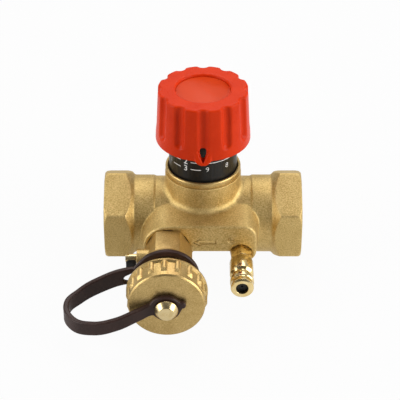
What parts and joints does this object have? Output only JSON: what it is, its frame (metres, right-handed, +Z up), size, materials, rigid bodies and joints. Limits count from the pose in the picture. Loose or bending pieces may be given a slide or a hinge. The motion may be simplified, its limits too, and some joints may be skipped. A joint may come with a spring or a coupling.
{
  "type": "balancing valve",
  "caption": "Brass balancing valve for a heating pipe, with a red setting knob over a black scale, a measuring nipple, and a drain cock whose cap hangs on a rubber strap.",
  "frame": {"origin": "where the pipe axis meets the spindle axis", "axes": "+X along the pipe against the flow arrow, -Y towards the drain cock and the nipple, +Z up the spindle to the knob"},
  "size_m": [0.088, 0.0812, 0.0741],
  "materials": {
    "cast_brass": "blasted casting, satin",
    "turned_brass": "turned, bright",
    "drain_brass": "blasted, satin",
    "polished_brass": "polished",
    "red_plastic": "moulded, soft sheen",
    "black_plastic": "moulded, smooth",
    "seat_plastic": "smooth",
    "brown_rubber": "moulded, matt",
    "seal_rubber": "moulded, matt",
    "spring_steel": "drawn wire"
  },
  "bodies": {
    "valve": {"valve_body": "cast_brass", "bonnet": "turned_brass", "bonnet_o_ring": "seal_rubber", "spindle_o_rings": "seal_rubber", "scale_ring": "black_plastic", "drain_body": "drain_brass", "drain_o_ring": "seal_rubber", "ball_seats": "seat_plastic", "ball_retainer": "turned_brass", "strap": "brown_rubber"},
    "cone": {"valve_cone": "turned_brass", "cone_seal": "seal_rubber", "cone_clip": "spring_steel"},
    "spindle": {"shutoff_spindle": "turned_brass", "knob": "red_plastic", "knob_clip": "spring_steel", "knob_cover": "red_plastic"},
    "setting_seal": {"setting_o_ring": "seal_rubber"},
    "setting": {"setting_spindle": "turned_brass"},
    "drain": {"drain_ball": "turned_brass", "drain_stem": "drain_brass", "stem_o_ring": "seal_rubber", "drain_lever": "black_plastic"},
    "cap_seal": {"cap_gasket": "seal_rubber"},
    "cap": {"drain_cap": "drain_brass", "cap_stud": "polished_brass"},
    "nipple_seal": {"nipple_o_ring": "seal_rubber"},
    "nipple": {"measuring_nipple": "polished_brass", "nipple_core": "seal_rubber"}
  },
  "joints": [
    {"name": "cone_lift", "type": "slide", "parent": "valve", "child": "cone", "axis": [0, 0, 1], "range_m": [-0.00684, 0.00276]},
    {"name": "knob_turn", "type": "hinge", "parent": "cone", "child": "spindle", "pos_m": [0, 0, 0.03], "axis": [0, 0, 1], "range_deg": [-821.3, 331.7]},
    {"name": "setting_travel", "type": "slide", "parent": "spindle", "child": "setting_seal", "axis": [0, 0, 1], "range_m": [-0.003, 0]},
    {"name": "setting_turn", "type": "hinge", "parent": "setting_seal", "child": "setting", "pos_m": [0, 0, 0.035], "axis": [0, 0, 1], "range_deg": [-1350.5, 0.5]},
    {"name": "drain_turn", "type": "hinge", "parent": "valve", "child": "drain", "pos_m": [-0.013, -0.0292, 0], "axis": [-1, 0, 0], "range_deg": [0, 90]},
    {"name": "cap_travel", "type": "slide", "parent": "valve", "child": "cap_seal", "axis": [0, -1, 0], "range_m": [0, 0.00544], "deforming": ["strap"]},
    {"name": "cap_turn", "type": "hinge", "parent": "cap_seal", "child": "cap", "pos_m": [-0.013, -0.055, 0], "axis": [0, -1, 0], "range_deg": [-0.5, 1080.5]},
    {"name": "nipple_travel", "type": "slide", "parent": "valve", "child": "nipple_seal", "axis": [0, -1, 0], "range_m": [0, 0.0005]},
    {"name": "nipple_turn", "type": "hinge", "parent": "nipple_seal", "child": "nipple", "pos_m": [0.0143, -0.03, -0.0031], "axis": [0, -1, 0], "range_deg": [-0.5, 180.5]}
  ],
  "couplings": [
    {"joint": "knob_turn", "follows": "cone_lift", "rad_per_m": 2094.4},
    {"joint": "setting_turn", "follows": "setting_travel", "rad_per_m": 7854},
    {"joint": "cap_turn", "follows": "cap_travel", "rad_per_m": 3463.7},
    {"joint": "nipple_turn", "follows": "nipple_travel", "rad_per_m": 6283.2}
  ]
}
